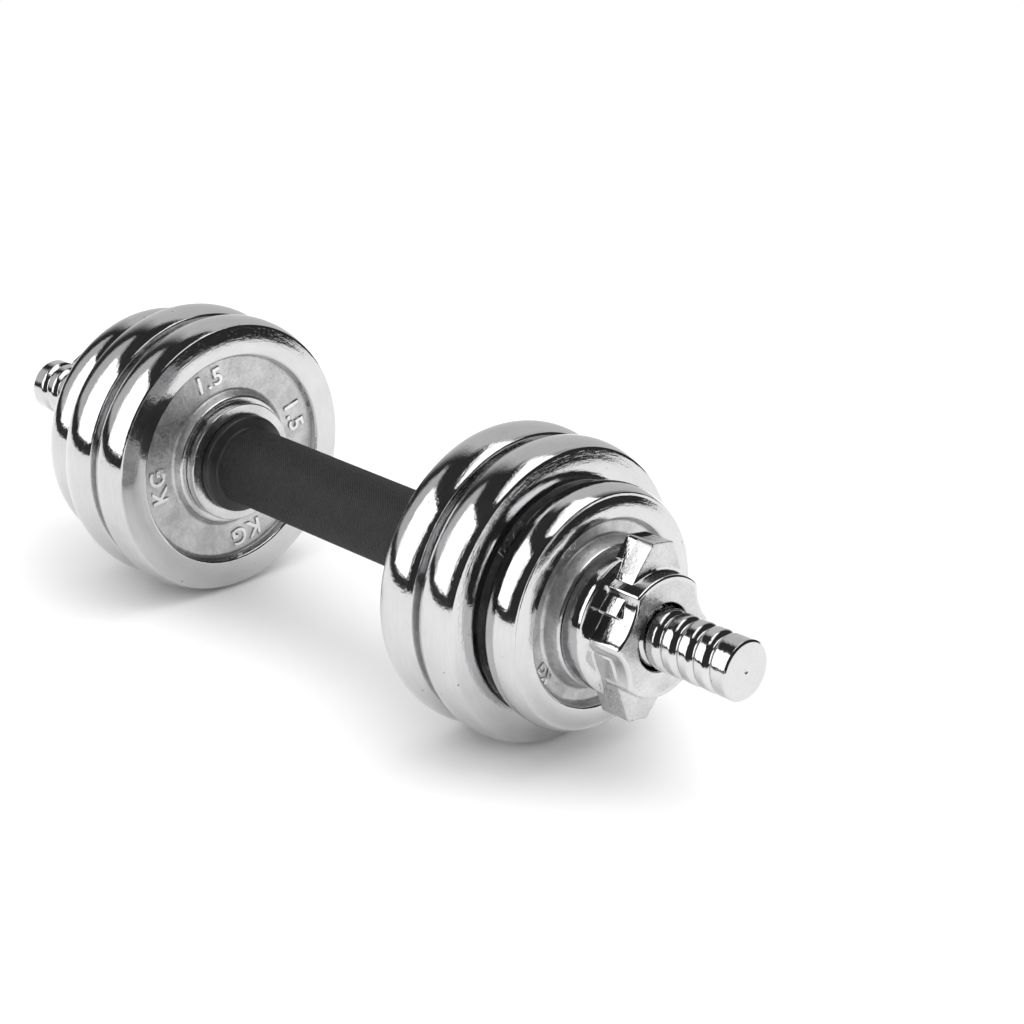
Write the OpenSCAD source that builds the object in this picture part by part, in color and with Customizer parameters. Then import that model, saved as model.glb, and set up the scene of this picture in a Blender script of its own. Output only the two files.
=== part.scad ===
// Adjustable dumbbell: a threaded steel bar with a rubber grip, three weight
// plates a side and a screw-on collar at each end. The bar lies along X and the
// larger plates stand on the plane Z = 0. Millimetres.

/* [Bar] */
// Length of the bar, end to end
bar_length = 450; // [430:1:470]
// Diameter over the thread crests and the plain end lands
bar_d = 25; // [24.6:0.1:25]
// Distance from one thread ridge to the next
thread_pitch = 8.45; // [7:0.05:10]
// Depth of the thread grooves
thread_depth = 1.4; // [0.8:0.1:2]
// Length of the plain land at each end of the bar
end_land = 6; // [4:0.5:10]
// Bevel on the bar's end edges
end_bevel = 0.8; // [0.3:0.1:1.5]

/* [Grip] */
// Diameter of the rubber sleeve
sleeve_d = 35.2; // [30:0.2:38]
// Length of the rubber sleeve between its end rings
sleeve_length = 146; // [130:1:150]
// Diameter of the smooth rubber ring at each end of the sleeve
end_ring_d = 44.6; // [40:0.2:50]
// Diameter of the steel stop ring that the first plate sits against
stop_d = 54.4; // [46:0.2:58]
// Width of the steel stop ring
stop_width = 4.5; // [3:0.5:6]

/* [Plates] */
// Diameter of the two large plates
large_plate_d = 128; // [116:1:140]
// Diameter of the right-hand outer plate
right_outer_plate_d = 103; // [90:1:120]
// Diameter of the left-hand outer plate
left_outer_plate_d = 114; // [90:1:120]
// Rim width of the inner plate
inner_rim_width = 22; // [18:0.5:22.4]
// Rim width of the middle plate
middle_rim_width = 22; // [18:0.5:22.4]
// Rim width of the outer plate
outer_rim_width = 19.4; // [16:0.2:24]
// Diameter of the hole through every plate
plate_bore_d = 28; // [26:0.5:32]
// Depth of the recess in each face of a plate
recess_depth = 4; // [2:0.5:5]

/* [Collar] */
// Diameter of the collar's round body
collar_body_d = 50.6; // [48:0.2:56]
// Diameter of the collar's rear flange
collar_flange_d = 59; // [57:0.5:64]
// Diameter of the circle that the two lugs reach
lug_circle_d = 73; // [64:0.5:76]
// Length of the collar from its rear face to its front face
collar_length = 27.1; // [22:0.1:30]
// Thickness of the rubber washer in the collar's rear face
washer_thickness = 3; // [2:0.5:4]

/* [Hidden] */
$fn = 96;

// Face-to-face gap between neighbours that come apart
seat_gap = 0.3;
axis_z = large_plate_d / 2;
bar_r = bar_d / 2;
bar_half = bar_length / 2;

// The grip, from the middle outwards
end_ring_width = 6.5;
end_ring_flare = 2.5;
end_ring_round = 1.6;
sleeve_half = sleeve_length / 2;
stop_start = sleeve_half + end_ring_width;
stop_end = stop_start + stop_width;
stop_bevel = 0.8;

// The plates: hub widths, and the place of each hub's inner face along the bar
inner_hub_width = 22.6;
middle_hub_width = 22.6;
outer_hub_width = 24.6;
// How far the outer plate's rim sits off the middle of its hub
outer_rim_shift = -1;
inner_start = stop_end + seat_gap;
middle_start = inner_start + inner_hub_width + seat_gap;
outer_start = middle_start + middle_hub_width + seat_gap;
stack_end = outer_start + outer_hub_width;
rim_crown = 3.4;
large_recess_r = 48.7;
outer_face_width = 12.1;
hub_r = 29.5;
hub_slope = 1.6;
recess_slope = 1.4;

// The collar, from its rear face outwards
washer_start = stack_end + seat_gap;
washer_proud = 0.4;
washer_r = 27.2;
washer_hole_r = 15;
collar_start = washer_start + washer_proud;
pocket_depth = washer_thickness - washer_proud + seat_gap;
pocket_r = washer_r + seat_gap;
flange_length = 9.2;
shoulder_length = 2.2;
collar_bore_r = bar_r + 0.05;
bore_mouth_r = 14;
bore_mouth_depth = 3;
lug_start = 5.1;
lug_length = 15.5;
lug_tip_width = 11;
lug_root_width = 25;
lug_angle = 10;
// Each hollow in the body: its angle, and its deepest point's distance from the axis
hollows = [[68.5, 22], [120, 20.6], [248.5, 22], [300, 20.6]];
hollow_r = 26;
left_collar_turn = -20;

// Puts a shape drawn round the Z axis onto the bar's axis, its +Z towards +X
module on_axis(start = 0) {
    translate([start, 0, axis_z]) rotate([0, 90, 0]) children();
}

// The same shape at the other end of the bar, turned end for end
module far_end() {
    rotate([0, 0, 180]) children();
}

// Groove centres run back from the end land to the stop ring
module thread_grooves() {
    groove_r = thread_depth + 0.8;
    groove_count = floor((bar_half - end_land - stop_end) / thread_pitch);
    for (i = [1 : groove_count])
        translate([0, 0, bar_half - end_land - (i - 0.5) * thread_pitch])
            rotate_extrude() translate([bar_r - thread_depth + groove_r, 0]) circle(r = groove_r);
}

module bar() {
    color("silver") on_axis() difference() {
        union() {
            translate([0, 0, -bar_half + end_bevel]) cylinder(h = bar_length - 2 * end_bevel, r = bar_r);
            for (m = [0, 1]) mirror([0, 0, m]) translate([0, 0, bar_half - end_bevel])
                cylinder(h = end_bevel, r1 = bar_r, r2 = bar_r - end_bevel);
        }
        for (m = [0, 1]) mirror([0, 0, m]) thread_grooves();
    }
}

module grip_sleeve() {
    color([0.08, 0.08, 0.08]) on_axis(-sleeve_half) difference() {
        cylinder(h = sleeve_length, d = sleeve_d);
        translate([0, 0, -1]) cylinder(h = sleeve_length + 2, r = bar_r);
    }
}

// A smooth ring that flares from the sleeve to a round-edged flange
module grip_end_ring() {
    flange_r = end_ring_d / 2;
    color([0.05, 0.05, 0.05]) on_axis(sleeve_half) rotate_extrude() {
        polygon([[bar_r, 0], [sleeve_d / 2, 0], [flange_r - end_ring_round, end_ring_flare],
                 [flange_r - end_ring_round, end_ring_width], [bar_r, end_ring_width]]);
        translate([flange_r - end_ring_round, end_ring_flare + end_ring_round]) circle(r = end_ring_round);
        translate([flange_r - end_ring_round, end_ring_flare + end_ring_round])
            square([end_ring_round, end_ring_width - end_ring_flare - end_ring_round]);
    }
}

module stop_ring() {
    stop_r = stop_d / 2;
    color("silver") on_axis(stop_start) rotate_extrude()
        polygon([[bar_r, 0], [stop_r - stop_bevel, 0], [stop_r, stop_bevel],
                 [stop_r, stop_width - stop_bevel], [stop_r - stop_bevel, stop_width], [bar_r, stop_width]]);
}

// Half of a plate's section: radius along X, half the thickness along Y. Its hub ends at hub_reach.
// The rim's outside is an arc that rises rim_crown above its two edges.
module half_section(r, rim_width, recess_r, hub_reach) {
    half_rim = rim_width / 2;
    crown_r = (pow(half_rim, 2) + pow(rim_crown, 2)) / (2 * rim_crown);
    floor_y = half_rim - recess_depth;
    difference() {
        union() {
            translate([plate_bore_d / 2, 0]) square([r - crown_r - plate_bore_d / 2, half_rim]);
            intersection() {
                translate([r - crown_r, 0]) square([crown_r, half_rim]);
                translate([r - crown_r, 0]) circle(r = crown_r);
            }
        }
        polygon([[0, floor_y], [recess_r - recess_slope, floor_y],
                 [recess_r, half_rim + 1], [0, half_rim + 1]]);
    }
    polygon([[plate_bore_d / 2, 0], [hub_r + hub_slope, 0], [hub_r + hub_slope, floor_y],
             [hub_r, hub_reach], [plate_bore_d / 2, hub_reach]]);
}

module plate(start, r, rim_width, recess_r, hub_width, rim_shift = 0) {
    color("gainsboro") on_axis(start + hub_width / 2 + rim_shift) rotate_extrude() for (m = [0, 1])
        mirror([0, m]) half_section(r, rim_width, recess_r, hub_width / 2 + (2 * m - 1) * rim_shift);
}

module inner_plate() {
    plate(inner_start, large_plate_d / 2, inner_rim_width, large_recess_r, inner_hub_width);
}

module middle_plate() {
    plate(middle_start, large_plate_d / 2, middle_rim_width, large_recess_r, middle_hub_width);
}

module outer_plate(d) {
    plate(outer_start, d / 2, outer_rim_width, d / 2 - outer_face_width, outer_hub_width, outer_rim_shift);
}

module washer() {
    color([0.1, 0.1, 0.1]) on_axis(washer_start) difference() {
        cylinder(h = washer_thickness, r = washer_r);
        translate([0, 0, -1]) cylinder(h = washer_thickness + 2, r = washer_hole_r);
    }
}

// Angles run from straight up towards +Y, looking from the front
module at_angle(angle) {
    rotate([0, 0, 180 - angle]) children();
}

module lug() {
    linear_extrude(height = lug_length)
        polygon([[0, -lug_root_width / 2], [collar_body_d / 2 - 1, -lug_root_width / 2],
                 [lug_circle_d / 2, -lug_tip_width / 2], [lug_circle_d / 2, lug_tip_width / 2],
                 [collar_body_d / 2 - 1, lug_root_width / 2], [0, lug_root_width / 2]]);
}

// Body with four hollows down its side, two lugs opposite each other, and a flange at the rear
module star_collar(turn = 0) {
    flange_r = collar_flange_d / 2;
    body_r = collar_body_d / 2;
    color("silver") on_axis(collar_start) rotate([0, 0, turn]) difference() {
        union() {
            cylinder(h = flange_length, r = flange_r);
            translate([0, 0, flange_length]) cylinder(h = shoulder_length, r1 = flange_r, r2 = body_r);
            difference() {
                cylinder(h = collar_length, r = body_r);
                for (h = hollows) at_angle(h[0])
                    translate([h[1] + hollow_r, 0, flange_length + shoulder_length])
                        cylinder(h = collar_length, r = hollow_r);
            }
            for (a = [lug_angle, lug_angle + 180]) at_angle(a) translate([0, 0, lug_start]) lug();
        }
        translate([0, 0, -1]) cylinder(h = collar_length + 2, r = collar_bore_r);
        translate([0, 0, -1]) cylinder(h = pocket_depth + 1, r = pocket_r);
        translate([0, 0, collar_length - bore_mouth_depth])
            cylinder(h = bore_mouth_depth + 1, r = bore_mouth_r);
    }
}

bar();
grip_sleeve();
grip_end_ring();  // grip_end_ring_right
far_end() grip_end_ring();  // grip_end_ring_left
stop_ring();  // stop_ring_right
far_end() stop_ring();  // stop_ring_left
inner_plate();  // inner_plate_right
far_end() inner_plate();  // inner_plate_left
middle_plate();  // middle_plate_right
far_end() middle_plate();  // middle_plate_left
outer_plate(right_outer_plate_d);  // outer_plate_right
far_end() outer_plate(left_outer_plate_d);  // outer_plate_left
washer();  // washer_right
far_end() washer();  // washer_left
star_collar();  // star_collar_right
far_end() star_collar(left_collar_turn);  // star_collar_left
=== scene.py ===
"""Looks for the adjustable dumbbell. Metres in Blender; sizes below are in millimetres."""
import math

import bmesh
import bpy
import numpy as np
from mathutils import Matrix, Vector


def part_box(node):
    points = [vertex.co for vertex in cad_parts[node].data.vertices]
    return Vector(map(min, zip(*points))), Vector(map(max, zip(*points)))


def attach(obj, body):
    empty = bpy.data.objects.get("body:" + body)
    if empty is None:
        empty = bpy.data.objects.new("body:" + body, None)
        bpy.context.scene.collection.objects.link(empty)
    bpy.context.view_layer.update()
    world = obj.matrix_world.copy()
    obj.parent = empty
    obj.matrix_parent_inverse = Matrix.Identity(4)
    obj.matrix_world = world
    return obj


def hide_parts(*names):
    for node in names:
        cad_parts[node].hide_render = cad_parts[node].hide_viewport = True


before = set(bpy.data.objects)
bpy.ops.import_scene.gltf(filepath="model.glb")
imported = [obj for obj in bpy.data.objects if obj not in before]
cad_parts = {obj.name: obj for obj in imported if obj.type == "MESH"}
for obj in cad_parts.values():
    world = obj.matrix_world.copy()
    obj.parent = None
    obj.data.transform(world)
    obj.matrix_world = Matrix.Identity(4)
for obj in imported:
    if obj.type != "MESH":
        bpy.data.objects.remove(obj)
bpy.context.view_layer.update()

MM = 0.001
SEGMENTS = 256
SIDES = {"right": 1, "left": -1}


def span(node):
    """Lowest and highest corner of a CAD node, in millimetres."""
    low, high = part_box(node)
    return [v / MM for v in low], [v / MM for v in high]


BAR_LOW, BAR_HIGH = span("bar")
AXIS_Z = (BAR_LOW[2] + BAR_HIGH[2]) / 2
BAR_R = (BAR_HIGH[2] - BAR_LOW[2]) / 2
BAR_HALF = BAR_HIGH[0]


# ---------------------------------------------------------------- mesh tools

def smoothstep(t):
    """Eases from 0 to 1, for a number or an array."""
    t = np.clip(t, 0, 1)
    return t * t * (3 - 2 * t)


def to_object(name, bm, materials):
    bmesh.ops.recalc_face_normals(bm, faces=bm.faces[:])
    mesh = bpy.data.meshes.new(name)
    bm.to_mesh(mesh)
    bm.free()
    for m in materials:
        mesh.materials.append(m)
    mesh.shade_smooth()
    obj = bpy.data.objects.new(name, mesh)
    bpy.context.scene.collection.objects.link(obj)
    return obj


def weighted_normals(obj):
    mod = obj.modifiers.new("weighted_normals", "WEIGHTED_NORMAL")
    mod.keep_sharp = False
    mod.weight = 50
    return obj


def finish_piece(obj, body, slot, *nodes):
    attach(obj, body)
    if nodes:
        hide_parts(*nodes)
    return obj


def corner_arc(before, corner, after, radius, steps):
    """Points of the arc that rounds one corner of a section."""
    p = Vector(corner)
    a = Vector(before) - p
    b = Vector(after) - p
    la, lb = a.length, b.length
    a.normalize()
    b.normalize()
    half = math.acos(max(-1.0, min(1.0, a.dot(b)))) / 2
    if radius <= 0 or half > math.radians(89.5):
        return [tuple(p)]
    tangent = min(radius / math.tan(half), 0.49 * la, 0.49 * lb)
    radius = tangent * math.tan(half)
    centre = p + (a + b).normalized() * radius / math.sin(half)
    start = p + a * tangent - centre
    end = p + b * tangent - centre
    turn = math.atan2(start.x * end.y - start.y * end.x, start.dot(end))
    points = []
    for i in range(steps + 1):
        t = turn * i / steps
        points.append((centre.x + start.x * math.cos(t) - start.y * math.sin(t),
                       centre.y + start.x * math.sin(t) + start.y * math.cos(t)))
    return points


def rounded(corners, steps=6, closed=True):
    """A section from (x, r, corner radius) corners. Returns its points and the corner each came from."""
    points, source = [], []
    n = len(corners)
    for i, (x, r, radius) in enumerate(corners):
        if not closed and i in (0, n - 1):
            arc = [(x, r)]
        else:
            arc = corner_arc(corners[i - 1][:2], (x, r), corners[(i + 1) % n][:2], radius, steps)
        points += arc
        source += [i] * len(arc)
    return points, source


def ring_point(x, r, phi):
    """A point at radius r round the bar's axis. phi runs from straight up towards +Y."""
    return (x * MM, r * math.sin(phi) * MM, (AXIS_Z + r * math.cos(phi)) * MM)


def skin_rows(bm, rows, closed, material_of=lambda i: 0):
    """Quads between rows of vertices; each row is a ring, or one vertex at a pole."""
    count = len(rows)
    for i in range(count if closed else count - 1):
        a, b = rows[i], rows[(i + 1) % count]
        n = max(len(a), len(b))
        for j in range(n):
            k = (j + 1) % n
            if len(a) == 1:
                corner = (a[0], b[k], b[j])
            elif len(b) == 1:
                corner = (a[j], a[k], b[0])
            else:
                corner = (a[j], a[k], b[k], b[j])
            bm.faces.new(corner).material_index = material_of(i)


def lathe(name, points, materials, closed=True, material_of=lambda i: 0, segments=SEGMENTS):
    """Revolves a section of (x, r) points round the bar's axis."""
    bm = bmesh.new()
    rows = []
    for x, r in points:
        if r < 1e-6:
            rows.append([bm.verts.new(ring_point(x, 0, 0))])
        else:
            rows.append([bm.verts.new(ring_point(x, r, 2 * math.pi * j / segments)) for j in range(segments)])
    skin_rows(bm, rows, closed, material_of)
    return weighted_normals(to_object(name, bm, materials))


def turned_to(obj, side):
    """Turns a piece made for the right-hand end round to its own end of the bar."""
    if SIDES[side] < 0:
        obj.data.transform(Matrix.Rotation(math.pi, 4, "Z"))
    return obj


# ---------------------------------------------------------------- materials

class Nodes:
    """Short names for building one node material."""

    def __init__(self, name):
        self.material = bpy.data.materials.new(name)
        self.material.use_nodes = True
        self.tree = self.material.node_tree
        self.shader = self.tree.nodes["Principled BSDF"]
        self.coords = self.tree.nodes.new("ShaderNodeTexCoord").outputs["Object"]
        self.turned = self.round_axis()

    def link(self, source, target):
        self.tree.links.new(source, target)

    def round_axis(self):
        """Place along the bar, distance from its axis, and a short length for the angle round it."""
        split = self.tree.nodes.new("ShaderNodeSeparateXYZ")
        self.link(self.coords, split.inputs[0])
        x, y, z = split.outputs
        z = self.math("SUBTRACT", z, AXIS_Z * MM)
        self.angle = self.math("ARCTAN2", y, z)
        self.along = x
        r = self.math("SQRT", self.math("ADD", self.math("MULTIPLY", y, y), self.math("MULTIPLY", z, z)))
        join = self.tree.nodes.new("ShaderNodeCombineXYZ")
        for socket, value in zip(join.inputs, (x, r, self.math("MULTIPLY", self.angle, 0.006))):
            self.link(value, socket)
        return join.outputs[0]

    def noise(self, scale, detail=3.0, roughness=0.5, vector=None, distortion=0.0):
        node = self.tree.nodes.new("ShaderNodeTexNoise")
        node.inputs["Scale"].default_value = scale
        node.inputs["Detail"].default_value = detail
        node.inputs["Roughness"].default_value = roughness
        node.inputs["Distortion"].default_value = distortion
        self.link(vector or self.coords, node.inputs["Vector"])
        return node.outputs["Fac"]

    def voronoi(self, scale, feature="F1", vector=None):
        node = self.tree.nodes.new("ShaderNodeTexVoronoi")
        node.feature = feature
        node.inputs["Scale"].default_value = scale
        self.link(vector or self.coords, node.inputs["Vector"])
        return node.outputs["Distance"]

    def math(self, operation, a, b=None, c=None):
        node = self.tree.nodes.new("ShaderNodeMath")
        node.operation = operation
        for socket, value in zip(node.inputs, (a, b, c)):
            if value is None:
                continue
            if isinstance(value, (int, float)):
                socket.default_value = value
            else:
                self.link(value, socket)
        return node.outputs[0]

    def remap(self, source, low, high, to_low, to_high, smooth=False):
        node = self.tree.nodes.new("ShaderNodeMapRange")
        if smooth:
            node.interpolation_type = "SMOOTHSTEP"
        for socket, value in zip(("From Min", "From Max", "To Min", "To Max"), (low, high, to_low, to_high)):
            node.inputs[socket].default_value = value
        self.link(source, node.inputs["Value"])
        return node.outputs["Result"]

    def mix(self, factor, a, b):
        node = self.tree.nodes.new("ShaderNodeMix")
        node.data_type = "RGBA"
        self.link(factor, node.inputs["Factor"])
        for socket, value in ((node.inputs["A"], a), (node.inputs["B"], b)):
            if isinstance(value, tuple):
                socket.default_value = (*value, 1)
            else:
                self.link(value, socket)
        return node.outputs["Result"]

    def bump(self, height, strength, distance, normal=None):
        node = self.tree.nodes.new("ShaderNodeBump")
        node.inputs["Strength"].default_value = strength
        node.inputs["Distance"].default_value = distance
        self.link(height, node.inputs["Height"])
        if normal is not None:
            self.link(normal, node.inputs["Normal"])
        return node.outputs["Normal"]

    def set(self, **values):
        for name, value in values.items():
            socket = self.shader.inputs[name.replace("_", " ")]
            if isinstance(value, (int, float)):
                socket.default_value = value
            elif isinstance(value, tuple):
                socket.default_value = (*value, 1)
            else:
                self.link(value, socket)
        return self.material


def polished_chrome(name, bright=0.61, rough=(0.035, 0.10), wave=0.2, lines=0.22, grain=0.06):
    """Mirror plating: faint waves under the plate, fine polishing lines round the axis and smudges."""
    n = Nodes(name)
    smudge = n.noise(55, 4, 0.6)
    streak = n.noise(1100, 3, 0.65, n.turned)
    fine = n.noise(520, 3, 0.6)
    speckle = n.noise(1000, 1, 0.5)
    colour = n.mix(n.remap(n.math("ADD", n.math("MULTIPLY", smudge, 0.5), n.math("MULTIPLY", streak, 0.5)),
                           0.35, 0.65, 0, 1),
                   (bright * 0.88, bright * 0.88, bright * 0.885), (bright, bright, bright * 1.012))
    colour = n.mix(n.remap(n.voronoi(120), 0.03, 0.07, 0, 1), (0.16, 0.16, 0.16), colour)
    normal = n.bump(n.noise(34, 2, 0.5), wave, 0.0008)
    normal = n.bump(streak, lines, 0.00022, normal)
    normal = n.bump(fine, grain, 0.0004, normal)
    normal = n.bump(speckle, 0.07, 0.0003, normal)
    roughness = n.remap(n.math("ADD", n.math("MULTIPLY", smudge, 0.5), n.math("MULTIPLY", streak, 0.5)),
                        0.35, 0.65, rough[0], rough[1])
    return n.set(Base_Color=colour, Metallic=1.0, Roughness=roughness, Normal=normal)


def cast_chrome(name, light=0.74, dark=0.42, rough=(0.28, 0.5), depth=0.45):
    """Plating over an unpolished casting: mottled grey, grainy, with small pits."""
    n = Nodes(name)
    mottle = n.noise(75, 5, 0.65)
    grain = n.noise(620, 4, 0.7)
    pits = n.remap(n.voronoi(420), 0.0, 0.16, 0, 1, smooth=True)
    colour = n.mix(n.remap(n.math("ADD", n.math("MULTIPLY", mottle, 0.65), n.math("MULTIPLY", grain, 0.35)),
                           0.38, 0.64, 0, 1), (dark, dark, dark * 1.01), (light, light, light * 1.01))
    height = n.math("ADD", n.math("MULTIPLY", grain, 0.7), n.math("MULTIPLY", pits, 0.3))
    normal = n.bump(n.noise(130, 3, 0.6), depth * 0.9, 0.001)
    normal = n.bump(height, depth, 0.0006, normal)
    roughness = n.remap(grain, 0.3, 0.7, rough[0], rough[1])
    return n.set(Base_Color=colour, Metallic=1.0, Roughness=roughness, Normal=normal)


def grip_rubber():
    """Matte moulded rubber: the grooves between its raised diamonds are painted darker than the diamonds, as
    painted shade.
    """
    n = Nodes("grip_rubber")
    dust = n.noise(160, 5, 0.6)
    grain = n.noise(2400, 3, 0.6)
    turn = n.math("MULTIPLY", n.angle, TEXTURE_AROUND)
    along = n.math("MULTIPLY", n.along, 2 * math.pi / (TEXTURE_PITCH * MM))
    weave = n.math("ADD", n.math("COSINE", n.math("ADD", turn, along)),
                   n.math("COSINE", n.math("SUBTRACT", turn, along)))
    # painted shade: this mask is 1 on the raised diamonds and falls to 0 in the grooves between them
    tops = n.remap(weave, -1.2, 1.6, 0, 1, smooth=True)
    groove_shade_and_tone = n.math("MULTIPLY", tops, n.remap(dust, 0.3, 0.7, 0.6, 1.0))
    # the grooves get the near-black colour as painted shade; the diamonds get the paler one, varied at random
    # in tone by the dust noise
    colour = n.mix(groove_shade_and_tone, (0.003, 0.003, 0.003), (0.032, 0.032, 0.033))
    roughness = n.remap(grain, 0.3, 0.7, 0.50, 0.70)
    normal = n.bump(n.voronoi(650, "SMOOTH_F1"), 0.9, 0.0006)
    return n.set(Base_Color=colour, Roughness=roughness, Normal=n.bump(grain, 0.35, 0.0003, normal),
                 Specular_IOR_Level=0.35)


def smooth_rubber():
    n = Nodes("smooth_rubber")
    cloud = n.noise(90, 4, 0.6)
    grain = n.noise(1500, 3, 0.6)
    colour = n.mix(n.remap(cloud, 0.35, 0.7, 0, 1), (0.008, 0.008, 0.008), (0.016, 0.016, 0.017))
    roughness = n.remap(n.math("ADD", n.math("MULTIPLY", cloud, 0.6), n.math("MULTIPLY", grain, 0.4)),
                        0.35, 0.65, 0.26, 0.42)
    return n.set(Base_Color=colour, Roughness=roughness, Normal=n.bump(grain, 0.12, 0.0003),
                 Specular_IOR_Level=0.5)


TEXTURE_PITCH = 1.5
TEXTURE_HEIGHT = 0.3
TEXTURE_STEPS = 5
TEXTURE_MARGIN = 1.0
TEXTURE_FADE = 3.0
SLEEVE_R = (span("grip_sleeve")[1][2] - span("grip_sleeve")[0][2]) / 2
TEXTURE_AROUND = round(2 * math.pi * SLEEVE_R / TEXTURE_PITCH)

RIM = polished_chrome("rim_chrome")
CAST = cast_chrome("cast_recess")
MARK = cast_chrome("mark_chrome", 0.78, 0.6, (0.12, 0.24), 0.2)
HUB = cast_chrome("hub_chrome", 0.66, 0.5, (0.14, 0.28), 0.18)
STEEL = polished_chrome("bar_chrome", 0.62, wave=0.08, lines=0.3)
COLLAR = polished_chrome("collar_chrome", 0.62, wave=0.14, lines=0.06, grain=0.1)
COLLAR_FACE = cast_chrome("collar_face", 0.62, 0.46, (0.2, 0.34), 0.3)
GRIP = grip_rubber()
RUBBER = smooth_rubber()


# ---------------------------------------------------------------- bar

THREAD_PITCH = 8.45
THREAD_DEPTH = 1.8
THREAD_PHASE = 0.72
END_LAND = 6.0
END_BEVEL = 0.8
THREAD_FADE = 0.9
THREAD_COLUMNS = 96
THREAD_STEPS = 24
THREAD_UNDER_RING = 1.0
CENTRE_MARK_R = 1.1
MERGE_DISTANCE = 0.004


def thread_dip(v):
    """How deep the thread's section is, 0 on the rounded crest to 1 in the root, at the part v of a pitch."""
    return ((1 - math.cos(2 * math.pi * v)) / 2) ** 4


def thread_rows(bm, start, end):
    """One threaded length: a skin whose rows follow the helix, cut square at both ends."""
    turns = int((end - start) / THREAD_PITCH) + 3
    rows = []
    for turn in range(-1, turns):
        for v in np.arange(THREAD_STEPS) / THREAD_STEPS:
            row = []
            for j in range(THREAD_COLUMNS + 1):
                x = start + THREAD_PITCH * (turn + v - 1 + THREAD_PHASE + j / THREAD_COLUMNS)
                inside = min(x - start, end - x)
                depth = THREAD_DEPTH * smoothstep(inside / THREAD_FADE) * thread_dip(v)
                x = max(start, min(end, x))
                # phi runs against the right-hand turn about +X, so it is negated for a right-hand thread
                row.append(bm.verts.new(ring_point(x, BAR_R - depth, -2 * math.pi * j / THREAD_COLUMNS)))
            rows.append(row)
    for a, b in zip(rows, rows[1:]):
        for j in range(THREAD_COLUMNS):
            bm.faces.new((a[j], a[j + 1], b[j + 1], b[j]))


def make_bar():
    bm = bmesh.new()
    thread_start = span("stop_ring_right")[1][0] + THREAD_UNDER_RING
    thread_end = BAR_HALF - END_LAND
    for s in (1, -1):
        thread_rows(bm, *sorted((s * thread_start, s * thread_end)))
        nose, _ = rounded([(s * thread_end, BAR_R, 0), (s * (BAR_HALF - END_BEVEL), BAR_R, 0.35),
                           (s * BAR_HALF, BAR_R - END_BEVEL, 0.35), (s * BAR_HALF, CENTRE_MARK_R, 0.1),
                           (s * (BAR_HALF - CENTRE_MARK_R * 0.7), 0, 0)], steps=4, closed=False)
        rows = []
        for x, r in nose:
            if r < 1e-6:
                rows.append([bm.verts.new(ring_point(x, 0, 0))])
            else:
                rows.append([bm.verts.new(ring_point(x, r, -2 * math.pi * j / THREAD_COLUMNS))
                             for j in range(THREAD_COLUMNS)])
        skin_rows(bm, rows, False)
    middle = [[bm.verts.new(ring_point(x, BAR_R, -2 * math.pi * j / THREAD_COLUMNS))
               for j in range(THREAD_COLUMNS)] for x in (-thread_start, 0, thread_start)]
    skin_rows(bm, middle, False)
    bmesh.ops.remove_doubles(bm, verts=bm.verts[:], dist=MERGE_DISTANCE * MM)
    bmesh.ops.dissolve_degenerate(bm, edges=bm.edges[:], dist=MERGE_DISTANCE / 2 * MM)
    return weighted_normals(to_object("threaded_bar", bm, [STEEL]))


finish_piece(make_bar(), "handle", "chrome", "bar")


# ---------------------------------------------------------------- grip

def make_sleeve():
    """Rubber sleeve whose surface carries raised diamonds between plain ends."""
    low, high = span("grip_sleeve")
    columns = TEXTURE_AROUND * TEXTURE_STEPS
    count = round((high[0] - low[0]) / TEXTURE_PITCH * TEXTURE_STEPS)
    bm = bmesh.new()

    def add(x, radii):
        rows.append([bm.verts.new(ring_point(x, r, 2 * math.pi * j / columns)) for j, r in enumerate(radii)])

    rows = []
    turn = TEXTURE_AROUND * 2 * math.pi * np.arange(columns) / columns
    add(low[0], np.full(columns, BAR_R))
    for x in np.linspace(low[0], high[0], count + 1):
        fade = smoothstep((min(x - low[0], high[0] - x) - TEXTURE_MARGIN) / TEXTURE_FADE)
        along = 2 * math.pi * x / TEXTURE_PITCH
        lift = (np.cos(turn + along) + np.cos(turn - along)) / 2
        add(x, SLEEVE_R - TEXTURE_HEIGHT * fade * (1 - lift) / 2)
    add(high[0], np.full(columns, BAR_R))
    skin_rows(bm, rows, True)
    return to_object("textured_sleeve", bm, [GRIP])


finish_piece(make_sleeve(), "handle", "grip_rubber", "grip_sleeve")


END_RING_EDGE_ROUND = 0.2
END_RING_FOOT = 1.2
END_RING_FOOT_RISE = 0.1
END_RING_FOOT_ROUND = 1.5
GRIP_FLANGE_FOOT = 2.6
GRIP_FLANGE_FOOT_ROUND = 1.7
GRIP_FLANGE_EDGE_ROUND = 0.9
STOP_RING_INNER_ROUND = 0.6
STOP_RING_OUTER_ROUND = 0.4


def make_end_ring(side):
    """Smooth ring that sweeps up from the sleeve to a round-edged flange."""
    low, high = span(f"grip_end_ring_{side}")
    inner, outer = sorted((abs(low[0]), abs(high[0])))
    flange_r = (high[2] - low[2]) / 2
    points, _ = rounded([(inner, BAR_R, 0), (inner, SLEEVE_R, END_RING_EDGE_ROUND),
                         (inner + END_RING_FOOT, SLEEVE_R + END_RING_FOOT_RISE, END_RING_FOOT_ROUND),
                         (inner + GRIP_FLANGE_FOOT, flange_r, GRIP_FLANGE_FOOT_ROUND),
                         (outer, flange_r, GRIP_FLANGE_EDGE_ROUND), (outer, BAR_R, 0)], steps=10)
    return turned_to(lathe(f"smooth_end_ring_{side}", points, [RUBBER]), side)


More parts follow.
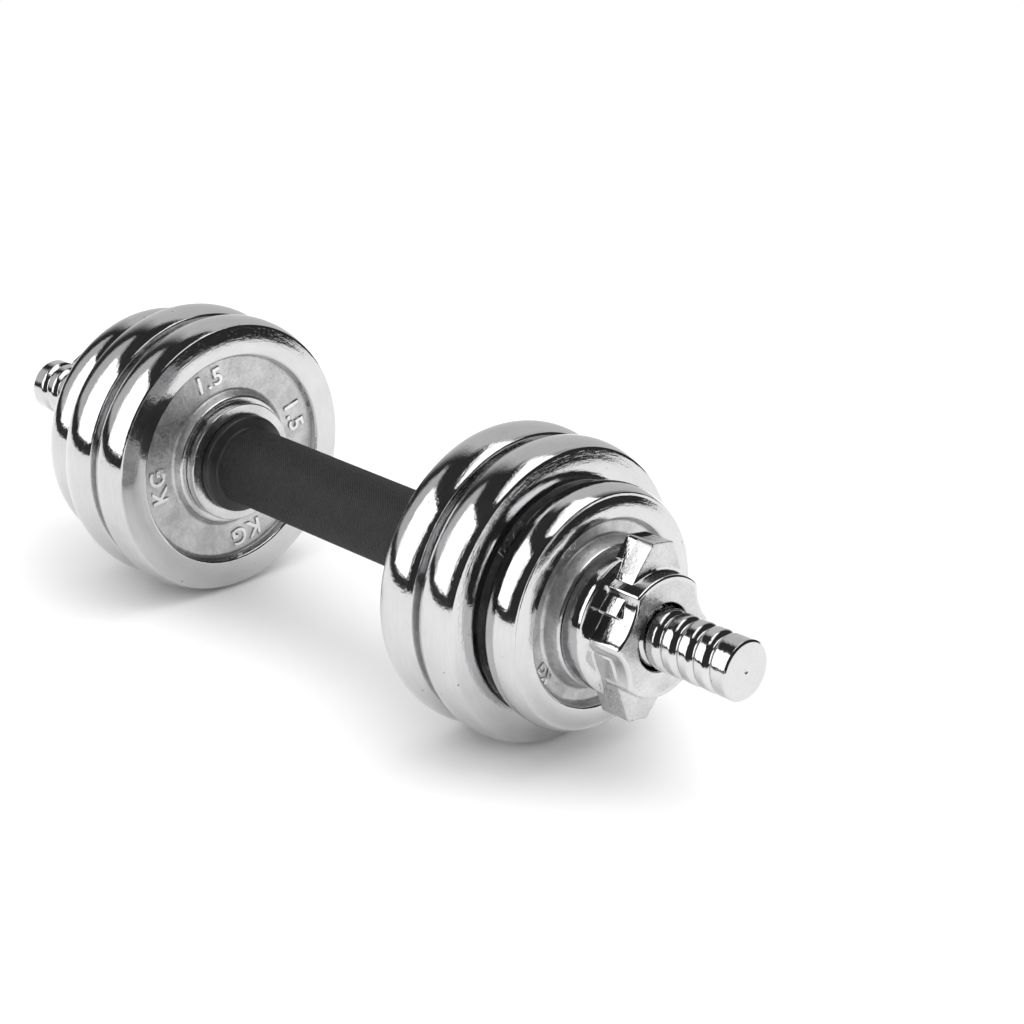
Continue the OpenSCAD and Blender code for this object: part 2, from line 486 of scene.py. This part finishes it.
def make_stop_ring(side):
    low, high = span(f"stop_ring_{side}")
    inner, outer = sorted((abs(low[0]), abs(high[0])))
    r = (high[2] - low[2]) / 2
    corners = [(inner, BAR_R, 0), (inner, r, STOP_RING_INNER_ROUND), (outer, r, STOP_RING_OUTER_ROUND),
               (outer, BAR_R, 0)]
    points, source = rounded(corners, steps=6)
    obj = lathe(f"stop_ring_{side}_body", points, [RIM, HUB],
                material_of=lambda i: 1 if source[i] in (0, 3) else 0)
    return turned_to(obj, side)


for side in SIDES:
    finish_piece(make_end_ring(side), "handle", "smooth_rubber", f"grip_end_ring_{side}")
    finish_piece(make_stop_ring(side), "handle", "chrome", f"stop_ring_{side}")


# ---------------------------------------------------------------- plates

RIM_CROWN = 3.4
FACE_FALL = 1.5
HUB_R = 29.5
RECESS_DEPTH = 4.0
BORE_R = 14.0
BORE_ROUND = 0.7
HUB_BACK = 11.3
HUB_ROUND = 1.6
HUB_WALL_SLOPE = 2.2
RECESS_WALL_SLOPE = 1.6
RECESS_FILLET = 1.8
RECESS_LIP_DROP = 0.1
RECESS_LIP_ROUND = 1.3
FACE_BOW_R = 60
RIM_EDGE_ROUND = 1.2
CROWN_SHARE = 0.83
CROWN_POINTS = 41
PLATES = {
    "inner_plate": {"rim": 22.0, "face": 15.3, "mark": "1.5", "size": 11.5, "angles": (-14, -96, 74, 168)},
    "middle_plate": {"rim": 22.0, "face": 15.3, "mark": "1.5", "size": 11.5, "angles": (60, 148, 236, 320)},
    "outer_plate": {"rim": 19.4, "face": 12.1, "mark": "1.0", "size": 6.2, "angles": (-30, -120, 60, 158)},
}


def plate_section(r, rim, recess, hub_front):
    """Corners of a plate's section, both faces, its rim centred on x = 0, with the band each belongs to."""
    half = rim / 2
    floor_x = half - RECESS_DEPTH
    crown_r = (half ** 2 + RIM_CROWN ** 2) / (2 * RIM_CROWN)
    reach = math.asin(half / crown_r)
    hub = [(BORE_R, BORE_ROUND), (HUB_R, HUB_ROUND)]
    face = [(floor_x, HUB_R + HUB_WALL_SLOPE, RECESS_FILLET, "cast"),
            (floor_x, recess - RECESS_WALL_SLOPE, RECESS_FILLET, "cast"),
            (half - RECESS_LIP_DROP, recess, RECESS_LIP_ROUND, "rim"),
            (half - FACE_FALL / 5, (recess + r - RIM_CROWN) / 2, FACE_BOW_R, "rim"),
            (half - FACE_FALL, r - RIM_CROWN, RIM_EDGE_ROUND, "rim")]
    arc = [(crown_r * math.sin(t), r - crown_r + crown_r * math.cos(t), 0, "rim")
           for t in np.linspace(reach * CROWN_SHARE, -reach * CROWN_SHARE, CROWN_POINTS)]
    back = [(-x, y, radius, band) for x, y, radius, band in reversed(face)]
    return ([(hub_front, y, radius, "hub") for y, radius in hub] + face + arc + back
            + [(-HUB_BACK, y, radius, "hub") for y, radius in reversed(hub)])


def make_plate(name, side):
    spec = PLATES[name]
    low, high = span(f"{name}_{side}")
    inner, outer = sorted((abs(low[0]), abs(high[0])))
    r = high[2] - AXIS_Z
    recess = r - spec["face"]
    centre = inner + HUB_BACK
    corners = plate_section(r, spec["rim"], recess, outer - centre)
    points, source = rounded([c[:3] for c in corners], steps=7)
    bands = [corners[i][3] for i in source]
    order = {"rim": 0, "cast": 1, "hub": 2}

    def material_of(i):
        pair = {bands[i], bands[(i + 1) % len(bands)]}
        return order["cast"] if pair == {"cast", "hub"} or pair == {"cast"} else order[bands[i]]

    obj = lathe(f"{name}_{side}_body", [(centre + x, y) for x, y in points], [RIM, CAST, HUB],
                material_of=material_of)
    return turned_to(obj, side), centre, recess


MARK_SPACING = 1.15
MARK_RAISE = 0.35
MARK_BEVEL = 0.28
MARK_STROKE = 0.12


def make_marks(name, side, centre, recess):
    """Raised weight figures in the recesses of both faces, their tops towards the rim."""
    spec = PLATES[name]
    floor_x = spec["rim"] / 2 - RECESS_DEPTH
    middle_r = (HUB_R + HUB_WALL_SLOPE + recess - RECESS_WALL_SLOPE) / 2
    bm = bmesh.new()
    for face in (1, -1):
        for index, angle in enumerate(spec["angles"]):
            curve = bpy.data.curves.new("mark", "FONT")
            curve.body = spec["mark"] if index % 2 == 0 else "KG"
            curve.size = spec["size"] * MM
            curve.space_character = MARK_SPACING
            curve.align_x = "CENTER"
            curve.align_y = "CENTER"
            curve.extrude = MARK_RAISE * MM
            curve.bevel_depth = MARK_BEVEL * MM
            curve.bevel_resolution = 2
            curve.offset = MARK_STROKE * MM
            text = bpy.data.objects.new("mark", curve)
            bpy.context.scene.collection.objects.link(text)
            bpy.context.view_layer.update()
            mesh = bpy.data.meshes.new_from_object(text.evaluated_get(bpy.context.evaluated_depsgraph_get()))
            phi = math.radians(angle) * face
            # text lies in its own XY plane and faces its own +Z: stand it up, then face it along the bar
            stand = Matrix(((0, 0, face, 0), (face, 0, 0, 0), (0, 1, 0, 0), (0, 0, 0, 1)))
            place = (Matrix.Translation(((centre + face * floor_x) * MM, 0, AXIS_Z * MM))
                     @ Matrix.Rotation(-phi, 4, "X") @ Matrix.Translation((0, 0, middle_r * MM)) @ stand)
            mesh.transform(place)
            bm.from_mesh(mesh)
            bpy.data.meshes.remove(mesh)
            bpy.data.objects.remove(text)
    obj = to_object(f"{name}_{side}_marks", bm, [MARK])
    return turned_to(obj, side)


for side in SIDES:
    for name in PLATES:
        plate, centre, recess = make_plate(name, side)
        finish_piece(plate, f"{name}_{side}", "plate_chrome", f"{name}_{side}")
        finish_piece(make_marks(name, side, centre, recess), f"{name}_{side}", "plate_chrome")


# ---------------------------------------------------------------- collars

COLLAR_BODY_R = 25.3
COLLAR_FLANGE_R = 29.5
FLANGE_LENGTH = 9.2
FLANGE_ROUND = 0.8
SHOULDER_LENGTH = 2.2
LUG_R = 36.5
LUG_START = 5.1
LUG_LENGTH = 15.5
LUG_TIP = 5.5
LUG_ROOT = 12.5
LUG_ROOT_R = 24.3
LUG_ANGLES = (10, 190)
HOLLOWS = ((68.5, 22.0), (120, 20.6), (248.5, 22.0), (300, 20.6))
HOLLOW_R = 26.0
LUG_DRAFT = 0.9
LUG_CAST_FROM = 1.5
FRONT_EDGE_ROUND = 1.1
MOUTH_DEPTH = 3.0
MOUTH_TAPER = 1.2
MOUTH_ROUND = 0.7
POCKET_DEPTH = 2.9
POCKET_GAP = 0.3
COLLAR_BORE_R = 12.55
BORE_MOUTH_R = 14.0
LEFT_COLLAR_TURN = -20
COLLAR_COLUMNS = 360


def soft_min(a, b, k):
    h = np.clip(0.5 + 0.5 * (b - a) / k, 0, 1)
    return b * (1 - h) + a * h - k * h * (1 - h)


def soft_max(a, b, k):
    return -soft_min(-a, -b, k)


def collar_outline(phi):
    """Body radius with its hollows, and the lugs' reach, at the angle phi in degrees."""
    body = np.full_like(phi, COLLAR_BODY_R)
    for a, nearest in HOLLOWS:
        away = np.radians((phi - a + 180) % 360 - 180)
        axis = nearest + HOLLOW_R
        chord = HOLLOW_R ** 2 - (axis * np.sin(away)) ** 2
        facing = (chord > 0) & (np.abs(away) < 1)
        hollow = np.where(facing, axis * np.cos(away) - np.sqrt(np.maximum(chord, 0)), 2 * COLLAR_BODY_R)
        body = soft_min(body, hollow, 0.5)
    reach = np.zeros_like(phi)
    slope = (LUG_ROOT - LUG_TIP) / (LUG_R - LUG_ROOT_R)
    for a in LUG_ANGLES:
        away = np.radians(np.abs((phi - a + 180) % 360 - 180))
        near = np.clip(away, 0, 1.2)
        along = (LUG_ROOT + slope * LUG_ROOT_R) / (np.tan(near) + slope)
        lug = soft_min(along, np.full_like(phi, LUG_R), 1.6) / np.cos(near)
        reach = np.maximum(reach, np.where(away < 1.2, lug, 0))
    return body, reach


def make_collar(side):
    low, high = span(f"star_collar_{side}")
    rear, front = sorted((abs(low[0]), abs(high[0])))
    length = front - rear
    turn = LEFT_COLLAR_TURN if side == "left" else 0
    phi = np.arange(COLLAR_COLUMNS) * 360 / COLLAR_COLUMNS
    body, reach = collar_outline(phi + turn)
    edge = FRONT_EDGE_ROUND
    draft = LUG_DRAFT
    lug_end = LUG_START + LUG_LENGTH
    shoulder_end = FLANGE_LENGTH + SHOULDER_LENGTH

    def outer_r(x):
        behind = max(0, 1 - x / FLANGE_ROUND)
        flange = COLLAR_FLANGE_R - FLANGE_ROUND * (1 - math.sqrt(max(0, 1 - behind ** 2)))
        shoulder = smoothstep((x - FLANGE_LENGTH) / SHOULDER_LENGTH)
        neck = COLLAR_FLANGE_R + (body - COLLAR_FLANGE_R) * shoulder
        r = np.minimum(neck, flange)
        on_lug = smoothstep((x - LUG_START) / draft) * smoothstep((lug_end - x) / draft)
        r = soft_max(r, r + (np.maximum(reach, r) - r) * on_lug, 0.02)
        if x > length - edge:
            u = (x - (length - edge)) / edge
            r = r - edge * (1 - math.sqrt(max(0, 1 - u * u)))
        return r

    xs = sorted(set(np.round(np.concatenate([
        np.linspace(0, FLANGE_ROUND, 6), np.linspace(FLANGE_ROUND, FLANGE_LENGTH, 5),
        np.linspace(FLANGE_LENGTH, shoulder_end, 10),
        np.linspace(LUG_START, LUG_START + draft, 9), np.linspace(shoulder_end, lug_end - draft, 6),
        np.linspace(lug_end - draft, lug_end, 11), np.linspace(lug_end, length - edge, 5),
        length - edge + edge * np.sin(np.linspace(0, math.pi / 2, 9))]), 4)))
    bm = bmesh.new()
    rows, bands = [], []

    def add(x, radii, band):
        radii = np.broadcast_to(radii, phi.shape)
        rows.append([bm.verts.new(ring_point(rear + x, r, math.radians(p))) for r, p in zip(radii, phi)])
        bands.append(band)

    for x in xs:
        add(x, outer_r(x), 0)
    rim_r = outer_r(length)
    for t in (0.12, 0.4, 0.7, 0.92):
        add(length, rim_r + (BORE_MOUTH_R + MOUTH_ROUND - rim_r) * t, 1)
    for t in np.linspace(0, math.pi / 2, 6):
        add(length - MOUTH_ROUND * (1 - math.cos(t)), BORE_MOUTH_R + MOUTH_ROUND * (1 - math.sin(t)), 1)
    low_washer, high_washer = span(f"washer_{side}")
    pocket_r = (high_washer[2] - low_washer[2]) / 2 + POCKET_GAP
    for x, r in ((length - MOUTH_DEPTH, BORE_MOUTH_R), (length - MOUTH_DEPTH - MOUTH_TAPER, COLLAR_BORE_R),
                 (POCKET_DEPTH, COLLAR_BORE_R), (POCKET_DEPTH, pocket_r),
                 (POCKET_GAP, pocket_r), (0, pocket_r + POCKET_GAP)):
        add(x, r, 0)
    skin_rows(bm, rows, True, lambda i: bands[i])
    for f in bm.faces:
        x, y, z = f.calc_center_median() / MM
        if x > rear + shoulder_end and math.hypot(y, z - AXIS_Z) > COLLAR_BODY_R + LUG_CAST_FROM:
            f.material_index = 1
    obj = weighted_normals(to_object(f"lugged_collar_{side}", bm, [COLLAR, COLLAR_FACE]))
    return turned_to(obj, side)


WASHER_BORE_R = 15
WASHER_BORE_ROUND = 0.6
WASHER_EDGE_ROUND = 0.8


def make_washer(side):
    low, high = span(f"washer_{side}")
    inner, outer = sorted((abs(low[0]), abs(high[0])))
    r = (high[2] - low[2]) / 2
    points, _ = rounded([(inner, WASHER_BORE_R, WASHER_BORE_ROUND), (inner, r, WASHER_EDGE_ROUND),
                         (outer, r, WASHER_EDGE_ROUND), (outer, WASHER_BORE_R, WASHER_BORE_ROUND)], steps=6)
    return turned_to(lathe(f"rubber_washer_{side}", points, [RUBBER]), side)


for side in SIDES:
    finish_piece(make_collar(side), f"star_collar_{side}", "collar_chrome", f"star_collar_{side}")
    finish_piece(make_washer(side), f"washer_{side}", "smooth_rubber", f"washer_{side}")


# ---------------------------------------------------------------- stage, lights and camera

FLOOR_R = 1.0
BACKDROP = 0.72
BACKDROP_AZIMUTH = (98, 162, 10)
BACKDROP_ELEVATION = (-20, 62, 4)
ROOM = 0.035
DOME = 1.4


def make_floor():
    bpy.ops.mesh.primitive_circle_add(vertices=128, radius=FLOOR_R, fill_type="NGON")
    floor = bpy.context.object
    floor.name = "floor"
    n = Nodes("floor_paper")
    cloud = n.noise(3, 3, 0.5)
    colour = n.mix(cloud, (0.80, 0.80, 0.80), (0.83, 0.83, 0.83))
    floor.data.materials.append(n.set(Base_Color=colour, Roughness=0.9, Specular_IOR_Level=0.1))


def softbox(name, direction, distance, size, brightness, on_matte=True):
    """A soft box that faces the dumbbell from a direction (azimuth from +X, elevation), in degrees.

    With on_matte off it only shows in reflections, and the dome alone lights the matte pieces and the floor.
    """
    azimuth, elevation = (math.radians(a) for a in direction)
    level = math.cos(elevation)
    out = Vector((level * math.cos(azimuth), level * math.sin(azimuth), math.sin(elevation)))
    light = bpy.data.lights.new(name, "AREA")
    light.shape = "RECTANGLE"
    light.size, light.size_y = size
    light.energy = brightness * math.pi * size[0] * size[1]
    obj = bpy.data.objects.new(name, light)
    bpy.context.scene.collection.objects.link(obj)
    obj.location = Vector((0, 0, AXIS_Z * MM)) + out * distance
    obj.rotation_euler = (-out).to_track_quat("-Z", "Y").to_euler()
    obj.visible_camera = False
    obj.visible_diffuse = on_matte


def studio_world():
    """Even dome light, white behind the object, and a dark room with a grey backdrop in the reflections."""
    world = bpy.data.worlds.new("studio")
    bpy.context.scene.world = world
    world.use_nodes = True
    tree = world.node_tree
    tree.nodes.clear()
    link = tree.links.new

    def calc(operation, *values):
        made = tree.nodes.new("ShaderNodeMath")
        made.operation = operation
        for socket, value in zip(made.inputs, values):
            if isinstance(value, (int, float)):
                socket.default_value = value
            else:
                link(value, socket)
        return made.outputs[0]

    def band(value, low, high, soft):
        """1 where the value lies between low and high, with soft ends."""
        edges = []
        for a, b in ((low - soft, low + soft), (high + soft, high - soft)):
            made = tree.nodes.new("ShaderNodeMapRange")
            made.interpolation_type = "SMOOTHSTEP"
            made.inputs["From Min"].default_value = math.radians(a)
            made.inputs["From Max"].default_value = math.radians(b)
            link(value, made.inputs["Value"])
            edges.append(made.outputs["Result"])
        return calc("MULTIPLY", *edges)

    def background(strength):
        made = tree.nodes.new("ShaderNodeBackground")
        made.inputs["Color"].default_value = (1, 1, 1, 1)
        if isinstance(strength, (int, float)):
            made.inputs["Strength"].default_value = strength
        else:
            link(strength, made.inputs["Strength"])
        return made.outputs[0]

    def choose(flag, no, yes):
        mixer = tree.nodes.new("ShaderNodeMixShader")
        link(flag, mixer.inputs[0])
        link(no, mixer.inputs[1])
        link(yes, mixer.inputs[2])
        return mixer.outputs[0]

    split = tree.nodes.new("ShaderNodeSeparateXYZ")
    link(tree.nodes.new("ShaderNodeTexCoord").outputs["Generated"], split.inputs[0])
    x, y, z = split.outputs
    azimuth = calc("ARCTAN2", y, x)
    elevation = calc("ARCSINE", z)
    backdrop = calc("MULTIPLY", band(azimuth, *BACKDROP_AZIMUTH), band(elevation, *BACKDROP_ELEVATION))
    room = calc("ADD", calc("MULTIPLY", backdrop, BACKDROP - ROOM), ROOM)
    path = tree.nodes.new("ShaderNodeLightPath").outputs
    output = tree.nodes.new("ShaderNodeOutputWorld")
    link(choose(path["Is Camera Ray"], choose(path["Is Glossy Ray"], background(DOME), background(room)),
                background(1.0)), output.inputs["Surface"])


CAMERA_AZIMUTH = -43.72
CAMERA_ELEVATION = 22.06
CAMERA_DISTANCE = 1176.2
CAMERA_ACROSS = 67.3
CAMERA_UP = -1.0
CAMERA_LENS = 95.8


def add_camera():
    azimuth, elevation = math.radians(CAMERA_AZIMUTH), math.radians(CAMERA_ELEVATION)
    back = Vector((math.cos(azimuth) * math.cos(elevation), math.sin(azimuth) * math.cos(elevation),
                   math.sin(elevation)))
    right = Vector((-math.sin(azimuth), math.cos(azimuth), 0))
    up = back.cross(right)
    data = bpy.data.cameras.new("camera")
    data.lens = CAMERA_LENS
    data.sensor_width = 36
    data.clip_end = 100
    camera = bpy.data.objects.new("camera", data)
    bpy.context.scene.collection.objects.link(camera)
    place = Vector((0, 0, AXIS_Z)) + back * CAMERA_DISTANCE + right * CAMERA_ACROSS + up * CAMERA_UP
    rotation = Matrix((right, up, back)).transposed()
    camera.matrix_world = Matrix.Translation(place * MM) @ rotation.to_4x4()
    bpy.context.scene.camera = camera


make_floor()
softbox("front_softbox", (-115, 30), 0.95, (0.85, 0.9), 2.3, on_matte=False)
softbox("side_panel", (-154, 30), 0.95, (0.58, 0.8), 0.62, on_matte=False)
softbox("top_softbox", (30, 72), 1.0, (0.9, 0.7), 1.9)
studio_world()
add_camera()
bpy.context.scene.view_settings.view_transform = "Standard"
